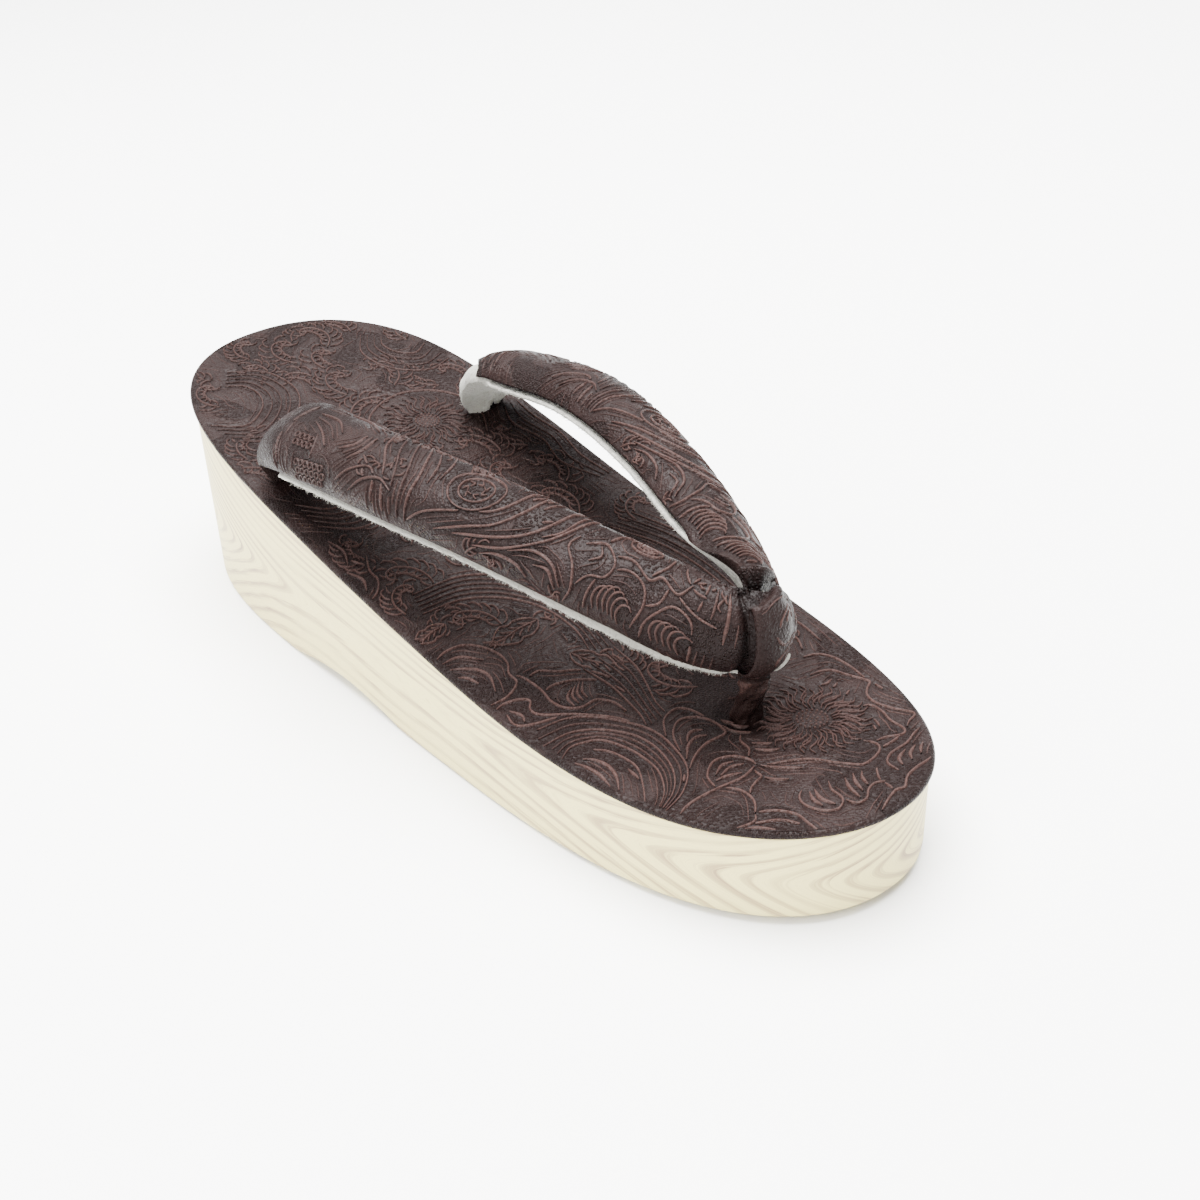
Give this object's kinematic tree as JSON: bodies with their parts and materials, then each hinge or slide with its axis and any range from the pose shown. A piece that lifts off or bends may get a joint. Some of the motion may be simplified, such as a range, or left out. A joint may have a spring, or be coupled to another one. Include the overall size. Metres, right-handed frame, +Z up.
{
  "type": "zori sandal",
  "caption": "Wedge platform zori sandal with a tooled leather footbed, padded leather straps lined in felt and a toe thong.",
  "frame": {"origin": "on the floor, under the middle of the sole's length and width", "axes": "+Z up, +Y towards the heel, -Y towards the toe, X across the sole"},
  "size_m": [0.0792, 0.24, 0.0666],
  "materials": {
    "side_wrap": "satin, ivory, faint wood grain",
    "footbed_leather": "tooled, semi-matte",
    "strap_leather": "tooled, semi-matte",
    "thong_leather": "gathered, semi-matte",
    "felt": "white wool felt"
  },
  "bodies": {
    "root": {"sole_block": "side_wrap", "footbed_cover": "footbed_leather", "strap": "strap_leather", "toe_thong": "thong_leather"}
  },
  "joints": []
}
